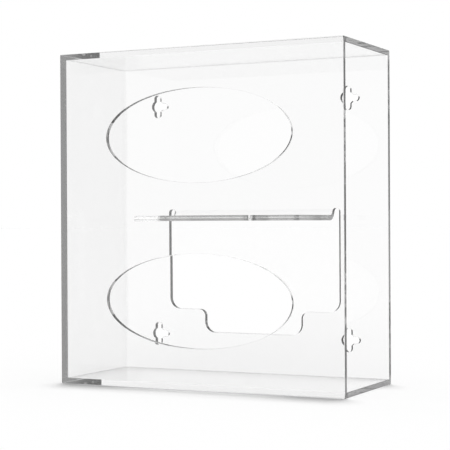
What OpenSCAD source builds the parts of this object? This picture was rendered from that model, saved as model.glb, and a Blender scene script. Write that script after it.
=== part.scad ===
// Disposable glove dispenser: a clear acrylic box, open at one end, for two glove boxes laid one above the other.
// Five cut sheets, solvent welded edge to face. The shelf between the two compartments is a tab of the back panel
// that is heat bent forward, which leaves the stepped cut-out below it.
// X runs across the front, Y from front to back and Z up. The origin is at the middle of the base.

/* [Body] */
// Overall width, from the closed side to the open side
body_w = 258.5; // [240:0.5:320]
// Overall depth, from front to back
body_d = 106; // [95:1:125]
// Overall height
body_h = 280; // [260:1:340]
// Thickness of the acrylic sheet
sheet_t = 4.5; // [3:0.5:6]

/* [Dispensing openings] */
// Width of each oval opening
opening_w = 169; // [130:1:200]
// Height of each oval opening
opening_h = 77.2; // [50:0.2:90]
// How far each opening sits off the middle of its compartment, towards the shelf
opening_lean = 1.3; // [0:0.1:6]

/* [Shelf] */
// Clear height of the lower compartment, from the floor to the underside of the shelf
lower_h = 133.3; // [125:0.1:140]
// Width of the shelf where it leaves the back panel
shelf_w = 152.4; // [120:0.2:170]
// How far the middle of the shelf sits to the open side of the middle of the body
shelf_shift = 3.6; // [0:0.1:8]
// Gap between the tip of the shelf and the front panel
shelf_gap = 0.6; // [0.5:0.1:10]
// Inside radius of the heat bend
bend_r = 5; // [2:0.5:7]
// Width of the narrow tongue at the tip of the shelf
tongue_w = 82; // [50:1:100]
// How far the tongue reaches past the shoulders of the shelf
tongue_l = 20.4; // [18:0.1:30]
// Radius of the outer corners of the shelf's shoulders
shoulder_r = 4; // [1:0.5:5]
// Radius of the corners at the tip of the tongue
tip_r = 3.5; // [1:0.5:4]
// Radius of the inside corners where the tongue leaves the shoulders
tongue_root_r = 12; // [8:0.5:13]
// Width of the routed gap that was cut round the shelf before it was bent
kerf_w = 6; // [4:0.5:7]
// How far the round ends of that gap reach above the start of the bend
kerf_past = 1.1; // [0:0.1:1.5]

/* [Keyholes] */
// Diameter of the round middle, which a screw head passes
keyhole_d = 11; // [8:0.5:14]
// Width of the three arms, which a screw shank fits
arm_w = 6; // [3:0.5:7]
// Reach of each arm, from the middle of the keyhole to its round end
arm_reach = 10.3; // [9:0.1:14]
// Distance between the two columns of keyholes
keyhole_pitch = 184; // [150:1:190]
// Height of the lower pair above the base
keyhole_low = 36; // [30:1:40]
// Distance of the upper pair below the top
keyhole_high = 38.4; // [30:0.1:44]
// How far the openings and the keyholes are centred to the open side of the middle of the body
cut_shift = 0.8; // [0:0.1:4]

/* [Hidden] */

// Points round each oval opening, and steps round each full circle
OVAL_STEPS = 144;
CIRCLE_STEPS = 96;

clear_acrylic = [0.90, 0.94, 0.95, 0.45];

// The panels stand between the two plates, and the front and back panels butt against the side panel.
half_w = body_w / 2;
half_d = body_d / 2;
wall_h = body_h - 2 * sheet_t;
panel_left = sheet_t - half_w;
panel_w = body_w - sheet_t;
front_inside = sheet_t - half_d;
back_inside = half_d - sheet_t;

// The shelf: its underside, the outer radius of its bend, and the height and depth at which the bend starts and ends.
shelf_z = sheet_t + lower_h;
bend_outer_r = bend_r + sheet_t;
bend_z = shelf_z + bend_outer_r;
bend_y = half_d - bend_outer_r;
shelf_tip_y = front_inside + shelf_gap;
shelf_flat_l = bend_y - shelf_tip_y;

// The same tab laid flat in the back panel: the middle of the sheet keeps its length through the bend.
bend_l = PI / 2 * (bend_r + sheet_t / 2);
blank_l = bend_l + shelf_flat_l;
blank_tip_z = bend_z - blank_l;

// The middle of the round ends of the routed gap.
kerf_end_z = bend_z + kerf_past - kerf_w / 2;

// The middle of each compartment, and of the opening in front of it.
lower_opening_z = sheet_t + lower_h / 2 + opening_lean;
upper_opening_z = (shelf_z + body_h) / 2 - opening_lean;

keyhole_places = [
    for (x = [-keyhole_pitch / 2, keyhole_pitch / 2], z = [keyhole_low, body_h - keyhole_high]) [cut_shift + x, z]
];

// An oval centred on the origin.
module oval(width, height) {
    polygon([
        for (i = [0 : OVAL_STEPS - 1])
            [width / 2 * cos(360 * i / OVAL_STEPS), height / 2 * sin(360 * i / OVAL_STEPS)]
    ]);
}

// A rectangle standing on the X axis at the given level, with its two lower corners rounded.
module foot_rounded(width, bottom, top, r) {
    translate([-width / 2, bottom + r])
        square([width, top - bottom - r]);
    translate([r - width / 2, bottom])
        square([width - 2 * r, top - bottom]);
    for (side = [-1, 1])
        translate([side * (width / 2 - r), bottom + r])
            circle(r, $fn = CIRCLE_STEPS);
}

// The outline of the shelf laid flat, with its tip at Y = 0 and its bend above it, grown on all free sides.
// Grown by nothing it is the shelf itself, and grown by the routed gap it is the hole that the shelf left.
module tab_outline(reach, grow) {
    shoulder = tongue_l - grow;
    fillet = tongue_root_r - grow;
    neck = tongue_w / 2 + grow;
    foot_rounded(shelf_w + 2 * grow, shoulder, reach, shoulder_r + grow);
    foot_rounded(2 * neck, -grow, reach, tip_r + grow);
    for (side = [-1, 1])
        difference() {
            translate([side * (neck + fillet / 2), shoulder - fillet / 2])
                square(fillet, center = true);
            translate([side * (neck + fillet), shoulder - fillet])
                circle(fillet, $fn = CIRCLE_STEPS);
        }
}

// The round middle of a keyhole with its arms, up, down and towards the open side.
module keyhole() {
    circle(d = keyhole_d, $fn = CIRCLE_STEPS);
    for (turn = [-90, 0, 90])
        rotate(turn) {
            translate([0, -arm_w / 2])
                square([arm_reach - arm_w / 2, arm_w]);
            translate([arm_reach - arm_w / 2, 0])
                circle(d = arm_w, $fn = CIRCLE_STEPS);
        }
}

// Stands a flat outline, drawn in X and Z, upright, with its front face at the given depth.
module upright(front_y, thickness) {
    translate([0, front_y + thickness, 0])
        rotate([90, 0, 0])
            linear_extrude(thickness)
                children();
}

// One plate lies under the walls and one on top of them.
module plate(bottom_z) {
    translate([-half_w, -half_d, bottom_z])
        cube([body_w, body_d, sheet_t]);
}

module panel_blank() {
    translate([panel_left, sheet_t])
        square([panel_w, wall_h]);
}

module top_plate() {
    color(clear_acrylic)
        plate(body_h - sheet_t);
}

module bottom_plate() {
    color(clear_acrylic)
        plate(0);
}

module side_panel() {
    color(clear_acrylic)
        translate([-half_w, -half_d, sheet_t])
            cube([sheet_t, body_d, wall_h]);
}

module front_panel() {
    color(clear_acrylic)
        upright(-half_d, sheet_t)
            difference() {
                panel_blank();
                for (z = [lower_opening_z, upper_opening_z])
                    translate([cut_shift, z])
                        oval(opening_w, opening_h);
            }
}

// The hole that the shelf left, with the routed gap's round ends beside the bend.
module shelf_hole() {
    translate([shelf_shift, blank_tip_z])
        tab_outline(kerf_end_z - blank_tip_z, kerf_w);
    for (side = [-1, 1])
        translate([shelf_shift + side * (shelf_w + kerf_w) / 2, kerf_end_z])
            circle(d = kerf_w, $fn = CIRCLE_STEPS);
    translate([shelf_shift - shelf_w / 2, kerf_end_z])
        square([shelf_w, bend_z - kerf_end_z]);
}

// The flat of the shelf, from its bend to its tip.
module shelf_flat() {
    translate([shelf_shift, shelf_tip_y, shelf_z])
        linear_extrude(sheet_t)
            tab_outline(shelf_flat_l, 0);
}

// The quarter bend that joins the back panel to the shelf.
module shelf_bend() {
    translate([shelf_shift - shelf_w / 2, bend_y, bend_z])
        rotate([90, 0, 90])
            linear_extrude(shelf_w)
                intersection() {
                    difference() {
                        circle(bend_outer_r, $fn = CIRCLE_STEPS);
                        circle(bend_r, $fn = CIRCLE_STEPS);
                    }
                    translate([0, -bend_outer_r])
                        square(bend_outer_r);
                }
}

module back_panel() {
    color(clear_acrylic)
        union() {
            upright(back_inside, sheet_t)
                difference() {
                    panel_blank();
                    shelf_hole();
                    for (place = keyhole_places)
                        translate(place)
                            keyhole();
                }
            shelf_bend();
            shelf_flat();
        }
}

top_plate();
bottom_plate();
side_panel();
front_panel();
back_panel();
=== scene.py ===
"""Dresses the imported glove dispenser: five sheets of clear acrylic, cut, welded and heat bent.

The dispenser stands on its bottom plate in a pale studio. X runs across its front to the open side, Y
from front to back and Z up, in metres. Every sheet replaces the plain solid of the same name, with
polished edges, laser-cut walls, welds that light crosses unbent, and a true heat bend.
"""

import logging
import math
from collections.abc import Iterable, Sequence
from dataclasses import dataclass, field
from enum import Enum
from typing import TypeVar

import bmesh
import bpy
from bmesh.types import BMEdge, BMesh, BMFace, BMVert
from mathutils import Matrix, Vector


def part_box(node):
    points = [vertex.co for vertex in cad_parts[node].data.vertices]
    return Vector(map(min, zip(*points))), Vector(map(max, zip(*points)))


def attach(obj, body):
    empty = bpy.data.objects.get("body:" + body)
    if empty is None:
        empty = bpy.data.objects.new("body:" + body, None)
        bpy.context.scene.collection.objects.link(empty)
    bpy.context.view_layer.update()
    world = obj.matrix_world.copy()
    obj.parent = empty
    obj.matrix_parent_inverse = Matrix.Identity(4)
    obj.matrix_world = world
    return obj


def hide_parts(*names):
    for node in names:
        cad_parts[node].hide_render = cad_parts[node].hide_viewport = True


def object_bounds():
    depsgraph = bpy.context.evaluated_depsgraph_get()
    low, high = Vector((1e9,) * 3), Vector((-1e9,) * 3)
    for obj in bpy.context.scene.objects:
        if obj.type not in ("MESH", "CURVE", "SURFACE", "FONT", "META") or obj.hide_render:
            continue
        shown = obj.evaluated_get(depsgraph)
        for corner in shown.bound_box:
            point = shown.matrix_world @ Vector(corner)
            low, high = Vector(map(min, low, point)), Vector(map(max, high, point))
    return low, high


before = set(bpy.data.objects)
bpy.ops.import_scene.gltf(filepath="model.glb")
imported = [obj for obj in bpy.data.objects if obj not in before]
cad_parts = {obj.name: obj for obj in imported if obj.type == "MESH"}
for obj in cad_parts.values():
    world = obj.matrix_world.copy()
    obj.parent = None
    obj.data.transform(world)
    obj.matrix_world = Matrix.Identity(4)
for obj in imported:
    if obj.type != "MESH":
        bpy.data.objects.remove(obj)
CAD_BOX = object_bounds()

log = logging.getLogger("glove_dispenser")

BODY = "root"

MM = 0.001
CM3 = 1e-6
# Acrylic bends light by this much.
ACRYLIC_IOR = 1.49
# The share of light that an acrylic face mirrors when light meets it head on.
HEAD_ON_MIRRORED = ((ACRYLIC_IOR - 1) / (ACRYLIC_IOR + 1)) ** 2
# The cement film of a solvent weld keeps two sheets this far apart.
WELD_FILM = 0.02 * MM
# A face with another sheet this far outside it is welded to that sheet.
WELD_REACH = 5 * WELD_FILM
# Width of the polished round on every free edge.
EDGE_ROUND = 0.3 * MM
EDGE_ROUND_STEPS = 2
# Turn of each step of a round stretch, in degrees.
ARC_STEP = 6.0
OVAL_STEPS = 180
BEND_STEPS = 18
FLOOR_STEPS = 96
# Faces that meet at less than this are one smooth surface.
SMOOTH_LIMIT = math.radians(12)
# Two faces that meet at more than this are a free edge, which is polished round.
EDGE_LIMIT = math.radians(60)
# Neighbours in a flat fill that meet at less than this are joined into one face.
FLAT_LIMIT = math.radians(1)
# A normal that points through the sheet by this much belongs to one of its two cast faces.
CAST_FACING = 0.999
# Points closer than this are one point.
SAME_PLACE = 0.001 * MM
# How often light may turn inside the acrylic, and how many panes it may cross unbent.
TURNS_FOLLOWED = 48
PANES_CROSSED = 64

MeshPart = TypeVar("MeshPart", BMVert, BMEdge, BMFace)


class Surface(Enum):
    """The kinds of surface on a sheet. The value is the material's place on the piece."""

    CAST = 0
    CUT = 1
    WELD = 2
    BENT = 3


class Axis(Enum):
    """The direction through a sheet, as the index of a coordinate."""

    X = 0
    Y = 1
    Z = 2


def linear(hex_colour: str) -> tuple[float, float, float, float]:
    """Turns an sRGB hex colour into a linear one.

    Args:
        hex_colour: Six hex digits after a hash sign.

    Returns:
        Red, green, blue and alpha in linear light.
    """
    parts = [int(hex_colour[i : i + 2], 16) / 255 for i in (1, 3, 5)]
    red, green, blue = (p / 12.92 if p <= 0.04045 else ((p + 0.055) / 1.055) ** 2.4 for p in parts)
    return red, green, blue, 1.0


def add_node(
    tree: bpy.types.NodeTree,
    kind: str,
    inputs: dict[str | int, object] | None = None,
    **settings: object,
) -> bpy.types.Node:
    """Adds a node with its settings, plain values and links.

    Args:
        tree: The node tree that gets the node.
        kind: The node's type name.
        inputs: For each input, by name or index, a plain value or the socket that feeds it.
        **settings: The node's own settings.

    Returns:
        The new node.
    """
    node = tree.nodes.new(kind)
    for name, value in settings.items():
        setattr(node, name, value)
    for name, value in (inputs or {}).items():
        if isinstance(value, bpy.types.NodeSocket):
            tree.links.new(value, node.inputs[name])
        else:
            node.inputs[name].default_value = value
    return node


def turned_inside(tree: bpy.types.NodeTree, turns: int) -> bpy.types.NodeSocket:
    """Adds the nodes that pick out light by its way through the acrylic.

    Args:
        tree: The node tree that gets the nodes.
        turns: The least number of times that the light was mirrored after it entered a sheet.

    Returns:
        1 for such light, and 0 for the rest.
    """
    path = add_node(tree, "ShaderNodeLightPath")
    passed = {}
    for place, (depth, least) in enumerate((("Transmission Depth", 1), ("Glossy Depth", turns))):
        # The counts are whole numbers, so half a count less stands for "at least".
        test = add_node(
            tree, "ShaderNodeMath", {0: path.outputs[depth], 1: least - 0.5}, operation="GREATER_THAN"
        )
        passed[place] = test.outputs["Value"]
    both = add_node(tree, "ShaderNodeMath", passed, operation="MULTIPLY")
    return both.outputs["Value"]


@dataclass(frozen=True)
class Finish:
    """A finish of one kind of surface."""

    name: str

    def surface(self, tree: bpy.types.NodeTree) -> bpy.types.NodeSocket:
        """Adds the nodes of the finish and returns its shader."""
        raise NotImplementedError

    def material(self) -> bpy.types.Material:
        """Makes the material.

        Returns:
            The material, named after the finish.
        """
        made = bpy.data.materials.new(self.name)
        made.use_nodes = True
        tree = made.node_tree
        tree.nodes.clear()
        add_node(tree, "ShaderNodeOutputMaterial", {"Surface": self.surface(tree)})
        return made


@dataclass(frozen=True)
class ClearAcrylic(Finish):
    """Clear acrylic with a fine relief.

    Lamps shine through it as through a window, less where light grazes it.
    """

    tint: str = "#FFFFFF"
    roughness: float = 0.0
    ior: float = ACRYLIC_IOR
    # Relief: the spacing of its waves along each coordinate, and its height.
    spacing: tuple[float, float, float] = (45 * MM, 45 * MM, 45 * MM)
    height: float = 0.004 * MM
    detail: float = 1.0

    def relief(self, tree: bpy.types.NodeTree) -> bpy.types.NodeSocket:
        """Adds the nodes of the relief.

        Args:
            tree: The material's node tree.

        Returns:
            The surface normal with the relief on it.
        """
        place = add_node(tree, "ShaderNodeTexCoord")
        scaled = add_node(
            tree,
            "ShaderNodeMapping",
            {"Vector": place.outputs["Object"], "Scale": [1 / s for s in self.spacing]},
        )
        waves = add_node(
            tree,
            "ShaderNodeTexNoise",
            {"Vector": scaled.outputs["Vector"], "Scale": 1.0, "Detail": self.detail},
        )
        bump = add_node(
            tree,
            "ShaderNodeBump",
            {"Height": waves.outputs["Fac"], "Strength": 1.0, "Distance": self.height},
        )
        return bump.outputs["Normal"]

    def surface(self, tree: bpy.types.NodeTree) -> bpy.types.NodeSocket:
        """Adds the glass, and the clear pane that stands for it where the light of lamps and floor passes.

        Args:
            tree: The material's node tree.

        Returns:
            The shader.
        """
        glass = add_node(
            tree,
            "ShaderNodeBsdfGlass",
            {
                "Color": linear(self.tint),
                "Roughness": self.roughness,
                "IOR": self.ior,
                "Normal": self.relief(tree),
            },
        )
        side = add_node(tree, "ShaderNodeNewGeometry")
        # Light that goes straight on loses as much where it leaves the sheet as where it enters.
        index = add_node(
            tree,
            "ShaderNodeMix",
            {"Factor": side.outputs["Backfacing"], "A": ACRYLIC_IOR, "B": 1 / ACRYLIC_IOR},
            data_type="FLOAT",
        )
        mirrored = add_node(tree, "ShaderNodeFresnel", {"IOR": index.outputs["Result"]})
        # What a sheet mirrors away head on, its pale surroundings give back.
        passed = add_node(
            tree,
            "ShaderNodeMapRange",
            {
                "Value": mirrored.outputs["Fac"],
                "From Min": HEAD_ON_MIRRORED,
                "To Min": 1.0,
                "To Max": 0.0,
            },
        )
        pane = add_node(tree, "ShaderNodeBsdfTransparent", {"Color": passed.outputs["Result"]})
        path = add_node(tree, "ShaderNodeLightPath")
        shader = glass.outputs["BSDF"]
        for ray in ("Is Diffuse Ray", "Is Shadow Ray"):
            mix = add_node(
                tree,
                "ShaderNodeMixShader",
                {"Fac": path.outputs[ray], 1: shader, 2: pane.outputs["BSDF"]},
            )
            shader = mix.outputs["Shader"]
        return shader


@dataclass(frozen=True)
class SolventWeld(Finish):
    """A solvent weld: the cement melts both faces into one, so light crosses it unbent."""

    def surface(self, tree: bpy.types.NodeTree) -> bpy.types.NodeSocket:
        """Adds the clear film and returns its shader."""
        film = add_node(tree, "ShaderNodeBsdfTransparent", {"Color": linear("#FFFFFF")})
        return film.outputs["BSDF"]


@dataclass(frozen=True)
class MattPaint(Finish):
    """Matt studio paint, seen from above only, and not by light that was turned inside the acrylic."""

    colour: str = "#FFFFFF"

    def surface(self, tree: bpy.types.NodeTree) -> bpy.types.NodeSocket:
        """Adds the matt paint, open from below and to turned light.

        Args:
            tree: The material's node tree.

        Returns:
            The shader.
        """
        side = add_node(tree, "ShaderNodeNewGeometry")
        paint = add_node(tree, "ShaderNodeBsdfDiffuse", {"Color": linear(self.colour)})
        nothing = add_node(tree, "ShaderNodeBsdfTransparent")
        shader = paint.outputs["BSDF"]
        for factor in (side.outputs["Backfacing"], turned_inside(tree, 1)):
            mix = add_node(
                tree, "ShaderNodeMixShader", {"Fac": factor, 1: shader, 2: nothing.outputs["BSDF"]}
            )
            shader = mix.outputs["Shader"]
        return shader


def laser_cut(through: Axis, line_gap: float = 0.6 * MM, line_l: float = 18 * MM) -> ClearAcrylic:
    """Makes the finish of a laser-cut wall.

    Fine lines run straight through the sheet, along the beam, and soften what the wall mirrors.

    Args:
        through: The direction through the sheet.
        line_gap: How far the lines are apart.
        line_l: How long a line keeps its shape, far more than the sheet is thick.

    Returns:
        The finish.
    """
    spacing = [line_gap] * 3
    spacing[through.value] = line_l
    return ClearAcrylic(
        f"laser_cut_acrylic_{through.name.lower()}",
        tint="#FAFAFA",
        roughness=0.03,
        spacing=tuple(spacing),
        height=0.0008 * MM,
        detail=2.0,
    )


@dataclass
class Slab:
    """One flat sheet of the body as a plain block."""

    low: Vector
    high: Vector
    through: Axis

    def holds(self, point: Vector) -> bool:
        """Tells whether a point lies in the slab."""
        return all(self.low[i] < point[i] < self.high[i] for i in range(3))


@dataclass
class Body:
    """The five slabs of the body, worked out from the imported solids, and what its panels share."""

    low: Vector = field(default_factory=lambda: CAD_BOX[0].copy())
    high: Vector = field(default_factory=lambda: CAD_BOX[1].copy())
    # The height of the shelf's underside.
    shelf_z: float = 137.8 * MM
    # How far the ovals and the keyholes are centred to the open side of the middle.
    cut_shift: float = 0.8 * MM
    sheet: float = field(init=False)
    slabs: dict[str, Slab] = field(init=False)

    def __post_init__(self) -> None:
        """Lays out the slabs: the front and back panels stand between the plates, beside the side panel."""
        plate_low, plate_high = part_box("top_plate")
        self.sheet = plate_high.z - plate_low.z
        x0, y0, z0 = self.low
        x1, y1, z1 = self.high
        t = self.sheet
        self.slabs = {
            "top_plate": Slab(Vector((x0, y0, z1 - t)), Vector((x1, y1, z1)), Axis.Z),
            "bottom_plate": Slab(Vector((x0, y0, z0)), Vector((x1, y1, z0 + t)), Axis.Z),
            "side_panel": Slab(Vector((x0, y0, z0 + t)), Vector((x0 + t, y1, z1 - t)), Axis.X),
            "front_panel": Slab(Vector((x0 + t, y0, z0 + t)), Vector((x1, y0 + t, z1 - t)), Axis.Y),
            "back_panel": Slab(Vector((x0 + t, y1 - t, z0 + t)), Vector((x1, y1, z1 - t)), Axis.Y),
        }


def once(parts: Iterable[MeshPart]) -> list[MeshPart]:
    """Lists each part of a mesh once, in the order in which it first comes, so that no run differs."""
    return list(dict.fromkeys(parts))


@dataclass
class Pen:
    """Draws one outline upright in a mesh, X to the right and Z up, by extruding and spinning its tip."""

    mesh: BMesh
    origin: Vector
    tip: BMVert = field(init=False)
    older: set[BMVert] = field(init=False)

    def put(self, x: float, z: float) -> "Pen":
        """Puts the pen down at the outline's first point.

        Args:
            x: The point's place across the front, from the pen's origin.
            z: The point's height above the pen's origin.

        Returns:
            The pen.
        """
        self.older = set(self.mesh.verts)
        self.tip = self.mesh.verts.new(self.origin + Vector((x, 0, z)))
        return self

    def line(self, x: float, z: float) -> "Pen":
        """Draws a straight stretch to a point.

        Args:
            x: The point's place across the front, from the pen's origin.
            z: The point's height above the pen's origin.

        Returns:
            The pen.
        """
        self.tip = bmesh.ops.extrude_vert_indiv(self.mesh, verts=[self.tip])["verts"][0]
        way = self.origin + Vector((x, 0, z)) - self.tip.co
        bmesh.ops.translate(self.mesh, verts=[self.tip], vec=way)
        return self

    def arc(self, x: float, z: float, degrees: float) -> "Pen":
        """Draws a round stretch about a centre, counter-clockwise as seen from the front.

        Args:
            x: The centre's place across the front.
            z: The centre's height.
            degrees: The turn, negative for clockwise.

        Returns:
            The pen.
        """
        swept = bmesh.ops.spin(
            self.mesh,
            geom=[self.tip],
            cent=self.origin + Vector((x, 0, z)),
            axis=(0, -1, 0),
            angle=math.radians(degrees),
            steps=max(1, round(abs(degrees) / ARC_STEP)),
            use_duplicate=False,
        )
        self.tip = next(g for g in swept["geom_last"] if isinstance(g, BMVert))
        return self

    def drawn(self) -> tuple[list[BMVert], list[BMEdge]]:
        """Lists the vertices and edges of the outline so far."""
        verts = [v for v in self.mesh.verts if v not in self.older]
        return verts, once(e for v in verts for e in v.link_edges)

    def mirrored(self, normal: Axis) -> list[BMEdge]:
        """Adds the outline's mirror image and joins the two halves.

        Args:
            normal: The direction in which the outline is mirrored, about the pen's origin.

        Returns:
            The edges of the whole outline.
        """
        verts, edges = self.drawn()
        bmesh.ops.mirror(
            self.mesh, geom=verts + edges, matrix=Matrix.Translation(-self.origin), axis=normal.name
        )
        bmesh.ops.remove_doubles(self.mesh, verts=self.drawn()[0], dist=SAME_PLACE)
        return self.drawn()[1]


def filled(mesh: BMesh, edges: Sequence[BMEdge]) -> list[BMFace]:
    """Fills closed outlines, with the inner ones as holes.

    Args:
        mesh: The mesh that holds the outlines.
        edges: The edges of the outlines.

    Returns:
        The faces, as few as there can be.
    """
    bmesh.ops.triangle_fill(mesh, use_beauty=True, edges=edges, normal=(0, -1, 0))
    loops = once(v for e in edges for v in e.verts)
    inner = once(e for v in loops for e in v.link_edges if len(e.link_faces) == 2)
    bmesh.ops.dissolve_limit(
        mesh, angle_limit=FLAT_LIMIT, use_dissolve_boundaries=False, verts=[], edges=inner
    )
    return once(f for v in loops for f in v.link_faces)


def rectangle(mesh: BMesh, low: Vector, high: Vector) -> list[BMEdge]:
    """Draws an upright rectangle at the depth of its lowest corner.

    Args:
        mesh: The mesh to draw in.
        low: The lowest corner.
        high: The highest corner.

    Returns:
        Its four edges.
    """
    middle = Vector(((low.x + high.x) / 2, low.y, (low.z + high.z) / 2))
    pen = Pen(mesh, middle)
    half_w, half_h = (high.x - low.x) / 2, (high.z - low.z) / 2
    pen.put(0, half_h).line(half_w, half_h).line(half_w, -half_h).line(0, -half_h)
    return pen.mirrored(Axis.X)


def thicken(mesh: BMesh, faces: Iterable[BMFace], thickness: float) -> None:
    """Gives flat faces a thickness, towards the back.

    Args:
        mesh: The mesh that holds the faces.
        faces: The flat faces.
        thickness: How far the far side lies behind them.
    """
    moved = bmesh.ops.extrude_face_region(mesh, geom=list(faces), use_keep_orig=True)["geom"]
    bmesh.ops.translate(mesh, verts=[g for g in moved if isinstance(g, BMVert)], vec=(0, thickness, 0))


@dataclass
class Sheet:
    """One sheet of acrylic, a plain block unless its class says more."""

    node: str
    body: Body
    materials: dict[Surface, bpy.types.Material]

    @property
    def slab(self) -> Slab:
        """The slab that the sheet fills."""
        return self.body.slabs[self.node]

    def is_welded(self, face: BMFace) -> bool:
        """Tells whether a face is cemented to another sheet: a point just outside it lies in that one."""
        outside = face.calc_center_median() + face.normal * WELD_REACH
        return any(s.holds(outside) for name, s in self.body.slabs.items() if name != self.node)

    def blank(self) -> tuple[Vector, Vector]:
        """Finds the slab's corners, drawn in by the cement film where an edge butts against another sheet.

        Returns:
            The lowest and the highest corner.
        """
        low, high = self.slab.low.copy(), self.slab.high.copy()
        if self.slab.through is not Axis.Z:
            low.z += WELD_FILM
            high.z -= WELD_FILM
        if self.slab.through is Axis.Y:
            low.x += WELD_FILM
        return low, high

    def shape(self, mesh: BMesh) -> None:
        """Models the sheet as a plain block, parted where other sheets are welded on.

        Args:
            mesh: The empty mesh of the sheet.
        """
        low, high = self.blank()
        place, size = Matrix.Translation((low + high) / 2), Matrix.Diagonal((*(high - low), 1))
        bmesh.ops.create_cube(mesh, size=1, matrix=place @ size)
        body = self.body
        # The seams follow the inner faces of the front and back panels, and on the plates the side panel's.
        seams = [
            ((0, body.low.y + body.sheet, 0), (0, 1, 0)),
            ((0, body.high.y - body.sheet, 0), (0, 1, 0)),
        ]
        if self.slab.through is Axis.Z:
            seams.append(((body.low.x + body.sheet, 0, 0), (1, 0, 0)))
        for point, normal in seams:
            bmesh.ops.bisect_plane(
                mesh,
                geom=[*mesh.verts, *mesh.edges, *mesh.faces],
                dist=SAME_PLACE,
                plane_co=point,
                plane_no=normal,
            )

    def polish(self, mesh: BMesh) -> None:
        """Rounds every free edge, and leaves the seams flush.

        Args:
            mesh: The mesh of the shaped sheet.
        """
        free = [
            e
            for e in mesh.edges
            if e.is_manifold
            and e.calc_face_angle() > EDGE_LIMIT
            and not any(self.is_welded(f) for f in e.link_faces)
        ]
        bmesh.ops.bevel(
            mesh,
            geom=free,
            offset=EDGE_ROUND,
            offset_type="OFFSET",
            segments=EDGE_ROUND_STEPS,
            profile=0.5,
            affect="EDGES",
            clamp_overlap=True,
            material=-1,
        )

    def sort_surfaces(self, mesh: BMesh) -> None:
        """Gives every face the place of its kind of surface.

        Args:
            mesh: The mesh of the polished sheet.
        """
        for face in mesh.faces:
            through = abs(face.normal[self.slab.through.value])
            kind = Surface.CAST if through > CAST_FACING else Surface.CUT
            face.material_index = (Surface.WELD if self.is_welded(face) else kind).value

    def form(self, mesh: BMesh) -> None:
        """Forms the sheet after its edges are polished. A flat sheet stays as it is."""

    def soften(self, mesh: BMesh) -> None:
        """Smooths round stretches, and keeps flats and their borders crisp.

        Args:
            mesh: The mesh of the finished sheet.
        """
        for face in mesh.faces:
            face.smooth = True
        for edge in mesh.edges:
            bent = {f.material_index == Surface.BENT.value for f in edge.link_faces}
            edge.smooth = edge.is_manifold and edge.calc_face_angle() < SMOOTH_LIMIT and len(bent) == 1

    def build(self) -> bpy.types.Object:
        """Models the sheet, dresses it and puts it in place of its plain solid.

        Returns:
            The finished piece.
        """
        mesh = bmesh.new()
        self.shape(mesh)
        bmesh.ops.recalc_face_normals(mesh, faces=mesh.faces[:])
        self.polish(mesh)
        mesh.normal_update()
        self.sort_surfaces(mesh)
        self.form(mesh)
        mesh.normal_update()
        self.soften(mesh)
        name = f"{self.node}_acrylic"
        data = bpy.data.meshes.new(name)
        mesh.to_mesh(data)
        volume = mesh.calc_volume(signed=True) / CM3
        closed = "closed" if all(e.is_manifold for e in mesh.edges) else "OPEN"
        log.info("%s: %d faces, %.1f cm3, %s", name, len(mesh.faces), volume, closed)
        mesh.free()
        piece = bpy.data.objects.new(name, data)
        bpy.context.scene.collection.objects.link(piece)
        for kind in Surface:
            data.materials.append(self.materials[kind])
        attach(piece, BODY)
        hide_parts(self.node)
        return piece


@dataclass
class FrontPanel(Sheet):
    """The front panel, with an oval opening in front of each compartment."""

    opening_w: float = 169 * MM
    opening_h: float = 77.2 * MM
    # How far each oval sits off the middle of its compartment, towards the shelf.
    opening_lean: float = 1.3 * MM

    def shape(self, mesh: BMesh) -> None:
        """Models the cut panel: its outline and its ovals, filled and given their thickness.

        Args:
            mesh: The empty mesh of the panel.
        """
        low, high = self.blank()
        border = rectangle(mesh, low, high)
        body = self.body
        lower = (body.low.z + body.sheet + body.shelf_z) / 2 + self.opening_lean
        upper = (body.shelf_z + body.high.z) / 2 - self.opening_lean
        upright = Matrix.Rotation(math.radians(90), 4, "X")
        for z in (lower, upper):
            place = Matrix.Translation((body.cut_shift, low.y, z))
            size = Matrix.Diagonal((self.opening_w / 2, 1, self.opening_h / 2, 1))
            ring = bmesh.ops.create_circle(
                mesh, cap_ends=False, segments=OVAL_STEPS, radius=1, matrix=place @ size @ upright
            )
            border += once(e for v in ring["verts"] for e in v.link_edges)
        thicken(mesh, filled(mesh, border), high.y - low.y)


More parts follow.
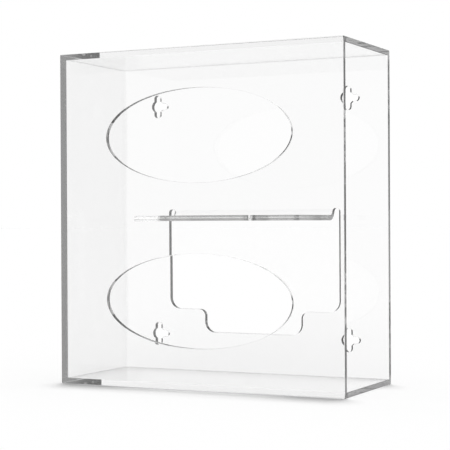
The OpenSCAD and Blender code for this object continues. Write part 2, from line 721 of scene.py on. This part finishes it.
@dataclass
class BackPanel(Sheet):
    """The back panel: four keyholes, and the shelf that is cut from it on three sides and bent forward."""

    shelf_w: float = 152.4 * MM
    # How far the shelf's middle sits to the open side of the body's, and its tip behind the front panel.
    shelf_shift: float = 3.6 * MM
    shelf_gap: float = 0.6 * MM
    # Inside radius of the heat bend.
    bend_r: float = 5 * MM
    tongue_w: float = 82 * MM
    tongue_l: float = 20.4 * MM
    shoulder_r: float = 4 * MM
    tip_r: float = 3.5 * MM
    tongue_root_r: float = 12 * MM
    # Width of the gap routed round the shelf, and how far its round ends reach above the bend line.
    kerf_w: float = 6 * MM
    kerf_past: float = 1.1 * MM
    # Each keyhole: its round middle, and its arms' width and reach.
    keyhole_d: float = 11 * MM
    arm_w: float = 6 * MM
    arm_reach: float = 10.3 * MM
    # The distance between the two columns of keyholes, and the heights of the two rows.
    keyhole_pitch: float = 184 * MM
    keyhole_z: tuple[float, float] = (36 * MM, 241.6 * MM)

    @property
    def bend_place(self) -> Vector:
        """The middle of the bend's round, in the middle of the shelf."""
        outer_r = self.bend_r + self.body.sheet
        return Vector((self.shelf_shift, self.body.high.y - outer_r, self.body.shelf_z + outer_r))

    @property
    def bend_l(self) -> float:
        """The length of sheet that the bend takes up, at the middle of the sheet."""
        return math.pi / 2 * (self.bend_r + self.body.sheet / 2)

    @property
    def blank_l(self) -> float:
        """The length of the shelf laid flat, with its bend."""
        tip_y = self.body.low.y + self.body.sheet + self.shelf_gap
        return self.bend_l + self.bend_place.y - tip_y

    def tab_half(self, pen: Pen, grow: float) -> list[BMEdge]:
        """Draws the shelf laid flat, hanging from its bend line, from the pen's origin on that line.

        Args:
            pen: The pen. Its origin is the middle of the bend line.
            grow: How far the outline stands out from the shelf: nothing, or the width of the routed gap.

        Returns:
            The edges of the whole outline.
        """
        half, neck = self.shelf_w / 2, self.tongue_w / 2 + grow
        tip = -self.blank_l
        shoulder = tip + self.tongue_l - grow
        outer_r, end_r, root_r = self.shoulder_r + grow, self.tip_r + grow, self.tongue_root_r - grow
        tip -= grow
        # The bend line runs into the gap's round end. The shelf follows it down, the hole goes over it.
        gap_r = self.kerf_w / 2
        gap_z = self.kerf_past - gap_r
        rise = math.degrees(math.asin(-gap_z / gap_r))
        pen.put(0, 0).line(half + gap_r - math.sqrt(gap_r * gap_r - gap_z * gap_z), 0)
        pen.arc(half + gap_r, gap_z, rise - 180 if grow else rise)
        half += grow
        pen.line(half, shoulder + outer_r).arc(half - outer_r, shoulder + outer_r, -90)
        pen.line(neck + root_r, shoulder).arc(neck + root_r, shoulder - root_r, 90)
        pen.line(neck, tip + end_r).arc(neck - end_r, tip + end_r, -90).line(0, tip)
        return pen.mirrored(Axis.X)

    def keyhole(self, pen: Pen) -> list[BMEdge]:
        """Draws a keyhole: a round middle with arms up, down and towards the open side.

        Args:
            pen: The pen. Its origin is the middle of the keyhole.

        Returns:
            The edges of the outline.
        """
        r, arm = self.keyhole_d / 2, self.arm_w / 2
        lean = math.degrees(math.asin(arm / r))
        root = math.sqrt(r * r - arm * arm)
        end = self.arm_reach - arm
        pen.put(-r, 0).arc(0, 0, lean - 90).line(-arm, end).arc(0, end, -180).line(arm, root)
        pen.arc(0, 0, 2 * lean - 90).line(end, arm).arc(end, 0, -90)
        return pen.mirrored(Axis.Z)

    def shape(self, mesh: BMesh) -> None:
        """Models the flat blank: the panel with its holes, and the shelf joined to it at the bend line.

        Args:
            mesh: The empty mesh of the panel.
        """
        low, high = self.blank()
        bend_line = Vector((self.shelf_shift, low.y, self.bend_place.z))
        border = rectangle(mesh, low, high) + self.tab_half(Pen(mesh, bend_line), self.kerf_w)
        for side in (-1, 1):
            for z in self.keyhole_z:
                x = self.body.cut_shift + side * self.keyhole_pitch / 2
                border += self.keyhole(Pen(mesh, Vector((x, low.y, z))))
        filled(mesh, border)
        tab = filled(mesh, self.tab_half(Pen(mesh, bend_line), 0))
        # The shelf is parted crosswise where it will bend.
        for step in range(1, BEND_STEPS + 1):
            verts, edges = once(v for f in tab for v in f.verts), once(e for f in tab for e in f.edges)
            cut = bmesh.ops.bisect_plane(
                mesh,
                geom=[*verts, *edges, *tab],
                dist=SAME_PLACE,
                plane_co=bend_line - Vector((0, 0, self.bend_l * step / BEND_STEPS)),
                plane_no=(0, 0, 1),
            )
            tab = [g for g in cut["geom"] if isinstance(g, BMFace)]
        bmesh.ops.remove_doubles(mesh, verts=mesh.verts[:], dist=SAME_PLACE)
        thicken(mesh, mesh.faces[:], high.y - low.y)

    def shelf_verts(self, mesh: BMesh) -> list[BMVert]:
        """Finds what hangs from the bend line: what lies below it and is joined to the tip of the shelf.

        Args:
            mesh: The mesh of the panel before it is bent.

        Returns:
            The vertices of the shelf.
        """
        level = self.bend_place.z - SAME_PLACE
        tip = Vector((self.shelf_shift, self.body.high.y, self.bend_place.z - self.blank_l))
        found = [min(mesh.verts, key=lambda v: (v.co - tip).length)]
        seen = set(found)
        for vert in found:
            for other in (e.other_vert(vert) for e in vert.link_edges):
                if other not in seen and other.co.z < level:
                    seen.add(other)
                    found.append(other)
        return found

    def form(self, mesh: BMesh) -> None:
        """Bends the shelf forward: the middle of the sheet keeps its length, and the rest follows round.

        Args:
            mesh: The mesh of the polished blank.
        """
        centre = self.bend_place
        # What lies equally far below the bend line turns together.
        rings: dict[int, list[BMVert]] = {}
        for vert in self.shelf_verts(mesh):
            rings.setdefault(round((centre.z - vert.co.z) / SAME_PLACE), []).append(vert)
        # Every corner is in the bend, but for what its edges' rounds moved. A big flat face may have just
        # its middle there.
        soft = [
            f
            for f in mesh.faces
            if f.material_index == Surface.CAST.value
            and abs(f.calc_center_median().x - centre.x) < self.shelf_w / 2
            and all(-EDGE_ROUND < centre.z - v.co.z < self.bend_l + EDGE_ROUND for v in f.verts)
        ]
        for face in soft:
            face.material_index = Surface.BENT.value
        for ring, verts in rings.items():
            below = ring * SAME_PLACE
            taken = min(below, self.bend_l)
            bmesh.ops.translate(mesh, verts=verts, vec=(0, 0, taken))
            turn = Matrix.Rotation(-math.pi / 2 * taken / self.bend_l, 3, "X")
            bmesh.ops.rotate(mesh, verts=verts, cent=centre, matrix=turn)


@dataclass
class Dispenser:
    """The glove dispenser: its finishes and its five sheets."""

    body: Body = field(default_factory=Body)

    def build(self) -> list[bpy.types.Object]:
        """Builds the five sheets.

        Returns:
            The finished pieces.
        """
        # As-cast faces are glass smooth, with a wave too slow to see but in what they mirror.
        cast = ClearAcrylic("cast_acrylic_face").material()
        # The softened acrylic ripples a little across the bend, so the shelf's edge looks evenly grey. The
        # higher index stands for the bend's gentle ends, which turn the light of the whole thickness up.
        bent = ClearAcrylic(
            "heat_bent_acrylic",
            roughness=0.18,
            ior=1.8,
            spacing=(12 * MM, 3 * MM, 3 * MM),
            height=0.03 * MM,
            detail=2.0,
        ).material()
        cuts = {axis: laser_cut(axis).material() for axis in Axis}
        weld = SolventWeld("solvent_weld").material()
        shared = {Surface.CAST: cast, Surface.WELD: weld, Surface.BENT: bent}
        kinds = {"front_panel": FrontPanel, "back_panel": BackPanel}
        sheets = [
            kinds.get(node, Sheet)(node, self.body, shared | {Surface.CUT: cuts[slab.through]})
            for node, slab in self.body.slabs.items()
        ]
        return [sheet.build() for sheet in sheets]


@dataclass(frozen=True)
class PaintedReflection:
    """A painted reflection, out of sight: a patch of the surroundings that only light turned inside the
    acrylic meets, which paints shade or highlights into the sheets' edges.
    """

    # The way to its middle, in degrees: azimuth 0 is straight back and 90 is to the open side.
    azimuth: float
    # Half its width, in degrees, to the start and to the end of its soft edge.
    inner: float
    outer: float
    # How bright it is, where 1 is white: below 1 it paints shade into the acrylic, above 1 a highlight.
    grey: float
    # The light must have been turned at least this often.
    turns: int = 1
    # How far its middle is above the level, in degrees.
    elevation: float = 0.0

    @property
    def direction(self) -> Vector:
        """The way to the middle of the painted reflection."""
        a, e = math.radians(self.azimuth), math.radians(self.elevation)
        return Vector((math.sin(a) * math.cos(e), math.cos(a) * math.cos(e), math.sin(e)))

    def seen(
        self, tree: bpy.types.NodeTree, way: bpy.types.NodeSocket, beyond: bpy.types.NodeSocket | float
    ) -> bpy.types.NodeSocket:
        """Adds the nodes of the painted reflection.

        Args:
            tree: The world's node tree.
            way: The direction in which a ray leaves.
            beyond: The level of what the painted reflection stands in front of.

        Returns:
            The level that the ray meets.
        """
        facing = add_node(
            tree, "ShaderNodeVectorMath", {0: way, 1: self.direction}, operation="DOT_PRODUCT"
        )
        edge = add_node(
            tree,
            "ShaderNodeMapRange",
            {
                "Value": facing.outputs["Value"],
                "From Min": math.cos(math.radians(self.outer)),
                "From Max": math.cos(math.radians(self.inner)),
            },
            interpolation_type="SMOOTHSTEP",
        )
        taken = add_node(
            tree,
            "ShaderNodeMath",
            {0: edge.outputs["Result"], 1: turned_inside(tree, self.turns)},
            operation="MULTIPLY",
        )
        level = add_node(
            tree,
            "ShaderNodeMix",
            {"Factor": taken.outputs["Value"], "A": beyond, "B": self.grey},
            data_type="FLOAT",
        )
        return level.outputs["Result"]


@dataclass
class Studio:
    """A pale floor, a soft lamp overhead, white surroundings and the camera."""

    floor_r: float = 30.0
    # How far the floor lies under the bottom plate.
    floor_drop: float = 0.2 * MM
    # The lamp's share of the light on the floor. The white surroundings give the rest.
    lamp_share: float = 0.62
    # How wide the lamp looks, and how far it leans to the closed side and to the back, in degrees.
    lamp_spread: float = 8.0
    lamp_lean: tuple[float, float] = (1.5, 4.5)
    # The painted reflections, each in front of those before it: they paint shade, and one a highlight, into
    # the acrylic's edges.
    painted_reflections: tuple[PaintedReflection, ...] = (
        # All round, for light that went round in a sheet.
        PaintedReflection(azimuth=0, inner=179, outer=180, grey=0.55, turns=4),
        # Overhead, on the open side, and brighter than white: a painted highlight in the acrylic, at the
        # shelf's end.
        PaintedReflection(azimuth=90, elevation=64, inner=32, outer=48, grey=1.35, turns=2),
        # At the back, on the open side.
        PaintedReflection(azimuth=39, inner=12, outer=20, grey=0.36),
        PaintedReflection(azimuth=39, inner=12, outer=20, grey=0.15, turns=2),
        # Straight back, a little low.
        PaintedReflection(azimuth=6, elevation=-5, inner=20, outer=24, grey=0.01),
        # Beside the dispenser, on the open side and on the closed side.
        PaintedReflection(azimuth=90, inner=57.4, outer=58, grey=0.33, turns=2),
        PaintedReflection(azimuth=270, inner=60, outer=60.6, grey=0.15, turns=3),
        # In front, on the closed side.
        PaintedReflection(azimuth=206, inner=40, outer=65, grey=0.62),
        PaintedReflection(azimuth=206, elevation=-25, inner=18.5, outer=22.5, grey=0.0),
        PaintedReflection(azimuth=206, inner=35, outer=55, grey=0.1, turns=2),
        # At the back, on the closed side: darker near the level than above and below it.
        PaintedReflection(azimuth=334, inner=12, outer=20, grey=0.22, turns=5),
        PaintedReflection(azimuth=334, elevation=50, inner=43, outer=45, grey=0.42, turns=5),
        PaintedReflection(azimuth=334, elevation=-50, inner=43, outer=45, grey=0.42, turns=5),
        PaintedReflection(azimuth=334, inner=12, outer=20, grey=0.04, turns=12),
        # At the back, on the open side, for light that went all the way through the side panel.
        PaintedReflection(azimuth=40, inner=12, outer=20, grey=0.3, turns=9),
    )
    camera_place: tuple[float, float, float] = (0.51096, -1.03095, 0.13710)
    # How far the camera looks to the closed side and down, and how far it is rolled, in degrees.
    camera_azimuth: float = 26.33
    camera_elevation: float = 0.142
    camera_roll: float = -0.288
    lens_mm: float = 108.75
    film_mm: float = 36
    # The nearest and the farthest that the camera sees.
    sight: tuple[float, float] = (0.01, 100)

    def floor(self) -> None:
        """Lays the floor just under the bottom plate."""
        mesh = bmesh.new()
        place = Matrix.Translation((0, 0, -self.floor_drop))
        bmesh.ops.create_circle(
            mesh, cap_ends=True, segments=FLOOR_STEPS, radius=self.floor_r, matrix=place
        )
        data = bpy.data.meshes.new("studio_floor")
        mesh.to_mesh(data)
        mesh.free()
        data.materials.append(MattPaint("matt_white_paint").material())
        laid = bpy.data.objects.new("studio_floor", data)
        bpy.context.scene.collection.objects.link(laid)

    def lamp(self) -> None:
        """Hangs the soft lamp overhead, a little behind the dispenser. No sheet mirrors it."""
        data = bpy.data.lights.new("overhead_softbox", "SUN")
        aside, back = (math.radians(lean) for lean in self.lamp_lean)
        data.energy = self.lamp_share * math.pi / (math.cos(aside) * math.cos(back))
        data.angle = math.radians(self.lamp_spread)
        hung = bpy.data.objects.new("overhead_softbox", data)
        hung.rotation_euler = (-back, -aside, 0)
        hung.visible_glossy = False
        hung.visible_transmission = False
        bpy.context.scene.collection.objects.link(hung)

    def world(self) -> None:
        """Makes the surroundings: white to the eye and through the acrylic, with the painted reflections
        for light turned inside it.
        """
        made = bpy.data.worlds.new("white_studio")
        made.use_nodes = True
        tree = made.node_tree
        tree.nodes.clear()
        path = add_node(tree, "ShaderNodeLightPath")
        way = add_node(tree, "ShaderNodeTexCoord").outputs["Generated"]
        shown: bpy.types.NodeSocket | float = 1.0
        # Each one paints its shade or highlight into the acrylic, for light that was turned inside it.
        for reflection in self.painted_reflections:
            shown = reflection.seen(tree, way, shown)
        level: bpy.types.NodeSocket | float = 1 - self.lamp_share
        for ray in ("Is Camera Ray", "Is Glossy Ray", "Is Transmission Ray"):
            mix = add_node(
                tree,
                "ShaderNodeMix",
                {"Factor": path.outputs[ray], "A": level, "B": shown},
                data_type="FLOAT",
            )
            level = mix.outputs["Result"]
        sky = add_node(tree, "ShaderNodeBackground", {"Color": linear("#FFFFFF"), "Strength": level})
        add_node(tree, "ShaderNodeOutputWorld", {"Surface": sky.outputs["Background"]})
        bpy.context.scene.world = made

    def camera(self) -> None:
        """Sets the camera to the open side of the front, level with the middle."""
        a, e = math.radians(self.camera_azimuth), math.radians(self.camera_elevation)
        forward = Vector((-math.sin(a) * math.cos(e), math.cos(a) * math.cos(e), -math.sin(e)))
        right = forward.cross(Vector((0, 0, 1))).normalized()
        turn = Matrix.Rotation(math.radians(self.camera_roll), 3, -forward)
        right = turn @ right
        up = right.cross(forward)
        data = bpy.data.cameras.new("camera")
        data.lens = self.lens_mm
        data.sensor_width = self.film_mm
        data.clip_start, data.clip_end = self.sight
        held = bpy.data.objects.new("camera", data)
        frame_of_view = Matrix((right, up, -forward)).transposed().to_4x4()
        held.matrix_world = Matrix.Translation(self.camera_place) @ frame_of_view
        bpy.context.scene.collection.objects.link(held)
        bpy.context.scene.camera = held

    def build(self) -> None:
        """Sets up the studio, and lets light turn inside the acrylic as often as in a real sheet."""
        self.camera()
        self.floor()
        self.lamp()
        self.world()
        scene = bpy.context.scene
        scene.view_settings.view_transform = "Standard"
        scene.cycles.max_bounces = TURNS_FOLLOWED
        scene.cycles.glossy_bounces = TURNS_FOLLOWED
        scene.cycles.transmission_bounces = TURNS_FOLLOWED
        scene.cycles.transparent_max_bounces = PANES_CROSSED


def main() -> None:
    """Builds the studio and the dispenser."""
    logging.basicConfig(level=logging.INFO, format="%(name)s: %(message)s")
    Studio().build()
    for piece in Dispenser().build():
        log.info("placed %s", piece.name)


if __name__ == "__main__":
    main()
